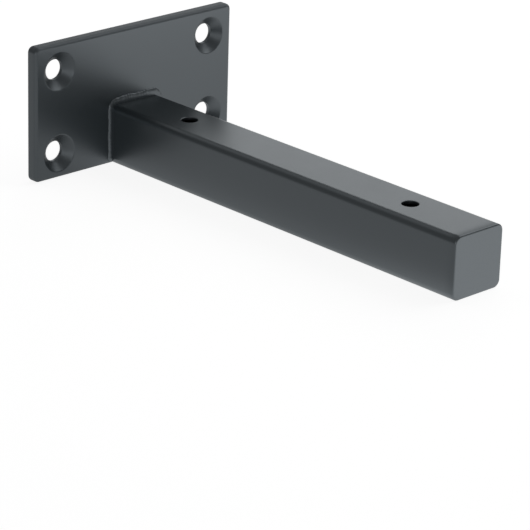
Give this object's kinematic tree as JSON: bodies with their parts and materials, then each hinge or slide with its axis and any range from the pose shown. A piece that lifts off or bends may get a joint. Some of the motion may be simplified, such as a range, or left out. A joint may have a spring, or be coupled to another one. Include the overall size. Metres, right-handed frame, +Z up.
{
  "type": "floating shelf bracket",
  "caption": "Steel wall bracket for a floating shelf: a countersunk rectangular wall plate with a closed square tube arm welded to it and drilled for shelf screws.",
  "frame": {"origin": "middle of the four wall-screw holes, on the face that meets the wall", "axes": "+X out from the wall along the arm, +Y along the wall, +Z up"},
  "size_m": [0.195, 0.1036, 0.056],
  "materials": {
    "powder_coat": "satin charcoal powder coat"
  },
  "bodies": {
    "root": {"wall_plate": "powder_coat", "support_arm": "powder_coat", "end_cap": "powder_coat", "root_weld": "powder_coat"}
  },
  "joints": []
}
